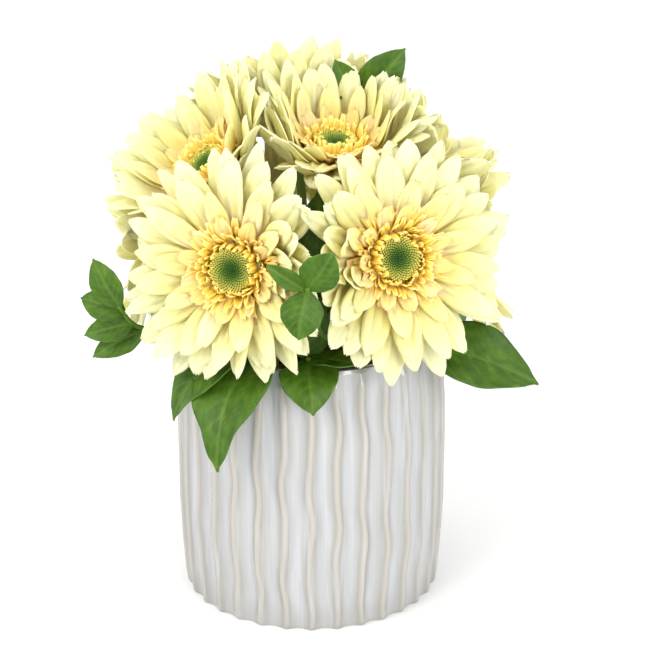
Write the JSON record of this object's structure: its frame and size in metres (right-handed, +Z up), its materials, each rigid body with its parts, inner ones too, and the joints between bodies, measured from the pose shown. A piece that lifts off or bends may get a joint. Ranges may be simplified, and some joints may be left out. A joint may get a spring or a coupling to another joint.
{
  "type": "potted flowering plant",
  "caption": "Potted gerbera with a dome of pale yellow double heads and broad green leaves in a white fluted ceramic pot.",
  "frame": {"origin": "centre of the pot's flat underside", "axes": "+Z up along the pot's axis, -Y towards the viewer of the two large front heads"},
  "size_m": [0.217, 0.2123, 0.2743],
  "materials": {
    "glaze": "glossy white glaze, cream where it thins over the ridges",
    "soil": "matt dark potting soil",
    "petal": "soft satin pale yellow petals, peach at the base",
    "floret": "soft golden orange florets",
    "disc": "matt green packed buds",
    "stem": "satin green stalk",
    "leaf": "satin mid-green leaf"
  },
  "bodies": {
    "root": {"pot": "glaze", "soil": "soil", "front_left_petals": "petal", "front_left_florets": "floret", "front_left_disc": "disc", "front_left_stem": "stem", "front_right_petals": "petal", "front_right_florets": "floret", "front_right_disc": "disc", "front_right_stem": "stem", "right_petals": "petal", "right_florets": "floret", "right_disc": "disc", "right_stem": "stem", "back_right_petals": "petal", "back_right_florets": "floret", "back_right_disc": "disc", "back_right_stem": "stem", "back_left_petals": "petal", "back_left_florets": "floret", "back_left_disc": "disc", "back_left_stem": "stem", "left_petals": "petal", "left_florets": "floret", "left_disc": "disc", "left_stem": "stem", "upper_left_petals": "petal", "upper_left_florets": "floret", "upper_left_disc": "disc", "upper_left_stem": "stem", "top_petals": "petal", "top_florets": "floret", "top_disc": "disc", "top_stem": "stem", "upper_right_petals": "petal", "upper_right_florets": "floret", "upper_right_disc": "disc", "upper_right_stem": "stem", "back_top_petals": "petal", "back_top_florets": "floret", "back_top_disc": "disc", "back_top_stem": "stem", "leaves_lower_left": "leaf", "leaves_front": "leaf", "leaf_right": "leaf", "leaves_left": "leaf", "sprig_centre": "leaf", "leaf_inner": "leaf", "sprig_top": "leaf", "leaf_back_right": "leaf", "leaf_back": "leaf", "leaf_back_left": "leaf"}
  },
  "joints": []
}
